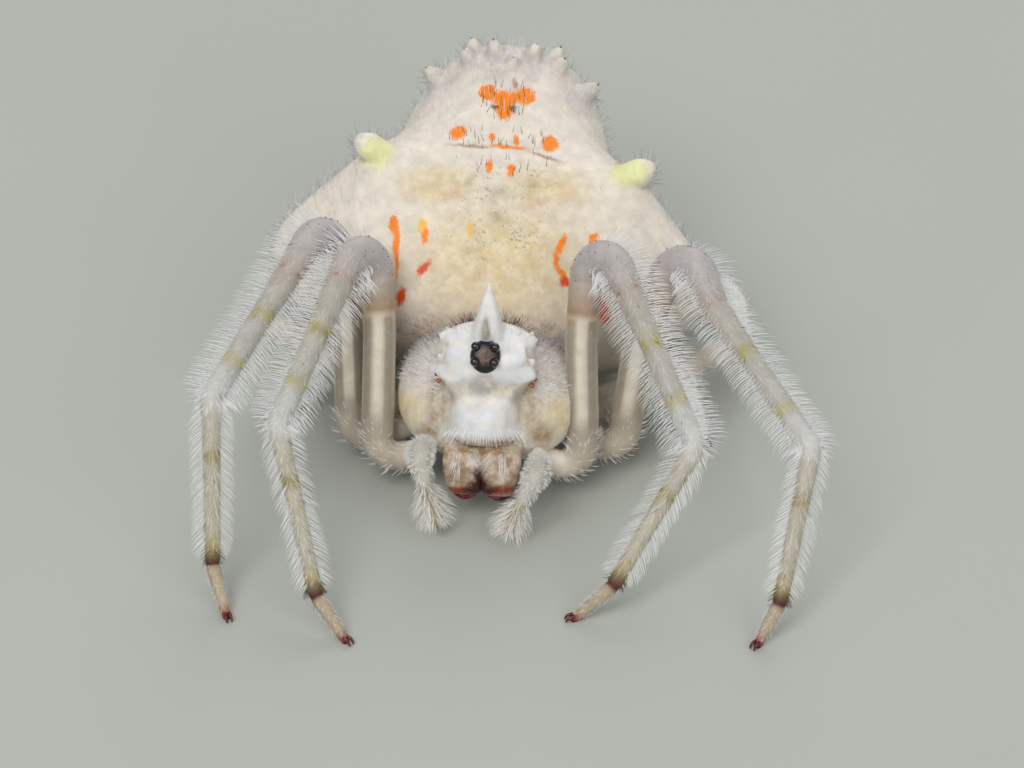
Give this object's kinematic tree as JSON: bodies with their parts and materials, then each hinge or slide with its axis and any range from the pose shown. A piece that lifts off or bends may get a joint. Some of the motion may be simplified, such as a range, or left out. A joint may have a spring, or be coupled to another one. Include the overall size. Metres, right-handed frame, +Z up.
{
  "type": "magnificent spider",
  "caption": "White bolas spider at life size, standing with its front legs held forward, with a spiked crown over its eyes and yellow knobs on its broad abdomen.",
  "frame": {"origin": "on the flat under the belly, at the level of the ground, 5.6 mm behind the eyes", "axes": "+Z up; the spider faces -Y, and +X is on its own left"},
  "size_m": [0.0148, 0.0147, 0.0067],
  "materials": {
    "cuticle": "satin",
    "hair": "soft",
    "turret": "matte",
    "eye": "gloss",
    "claw": "gloss"
  },
  "bodies": {
    "root": {"carapace": "cuticle", "eye_turret": "turret", "eye_median_upper_left": "eye", "eye_median_upper_right": "eye", "eye_median_lower_left": "eye", "eye_median_lower_right": "eye", "eye_lateral_front_left": "eye", "eye_lateral_front_right": "eye", "eye_lateral_rear_left": "eye", "eye_lateral_rear_right": "eye", "abdomen": "cuticle", "spinnerets": "cuticle", "chelicera_left": "cuticle", "chelicera_right": "cuticle", "fang_left": "claw", "fang_right": "claw", "palp_left": "hair", "palp_right": "hair", "leg1_left_femur": "cuticle", "leg1_left_shin": "hair", "leg1_left_foot": "hair", "leg1_right_femur": "cuticle", "leg1_right_shin": "hair", "leg1_right_foot": "hair", "leg2_left_femur": "cuticle", "leg2_left_shin": "hair", "leg2_left_foot": "hair", "leg2_right_femur": "cuticle", "leg2_right_shin": "hair", "leg2_right_foot": "hair", "leg3_left_femur": "cuticle", "leg3_left_shin": "hair", "leg3_left_foot": "hair", "leg3_right_femur": "cuticle", "leg3_right_shin": "hair", "leg3_right_foot": "hair", "leg4_left_femur": "cuticle", "leg4_left_shin": "hair", "leg4_left_foot": "hair", "leg4_right_femur": "cuticle", "leg4_right_shin": "hair", "leg4_right_foot": "hair"}
  },
  "joints": []
}
